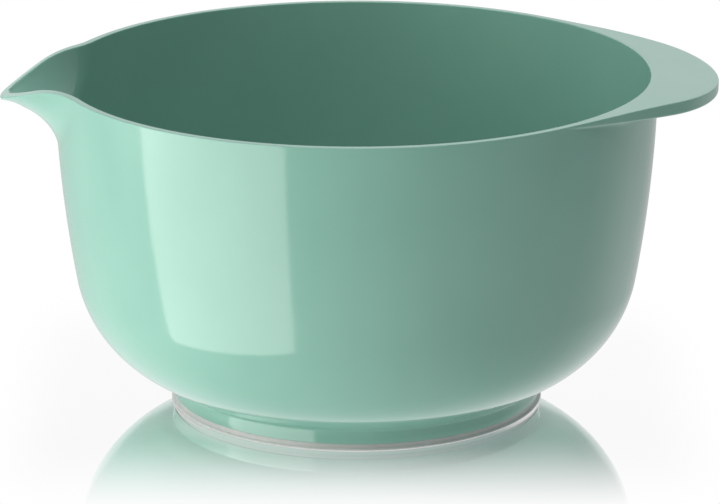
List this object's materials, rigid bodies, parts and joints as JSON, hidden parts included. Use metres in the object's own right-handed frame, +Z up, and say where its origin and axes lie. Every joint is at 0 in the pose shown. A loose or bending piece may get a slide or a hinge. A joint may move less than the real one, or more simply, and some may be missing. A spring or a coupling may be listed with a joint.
{
  "type": "mixing bowl",
  "caption": "Round mixing bowl with a beak-shaped pouring lip, a flat flange grip opposite it, a foot and a non-slip base ring.",
  "frame": {"origin": "centre of the base ring's resting face, on the bowl's axis, at table level", "axes": "+Z up along the bowl's axis; +X towards the flange grip, -X towards the pouring lip; the bowl is symmetric about the XZ plane"},
  "size_m": [0.2835, 0.238, 0.134],
  "materials": {
    "melamine": "gloss",
    "elastomer": "satin"
  },
  "bodies": {
    "ring": {"base_ring": "elastomer"},
    "bowl": {"bowl_shell": "melamine"}
  },
  "joints": [
    {"name": "bowl_lift", "type": "slide", "parent": "ring", "child": "bowl", "axis": [0, 0, 1], "range_m": [0, 0.007]}
  ]
}
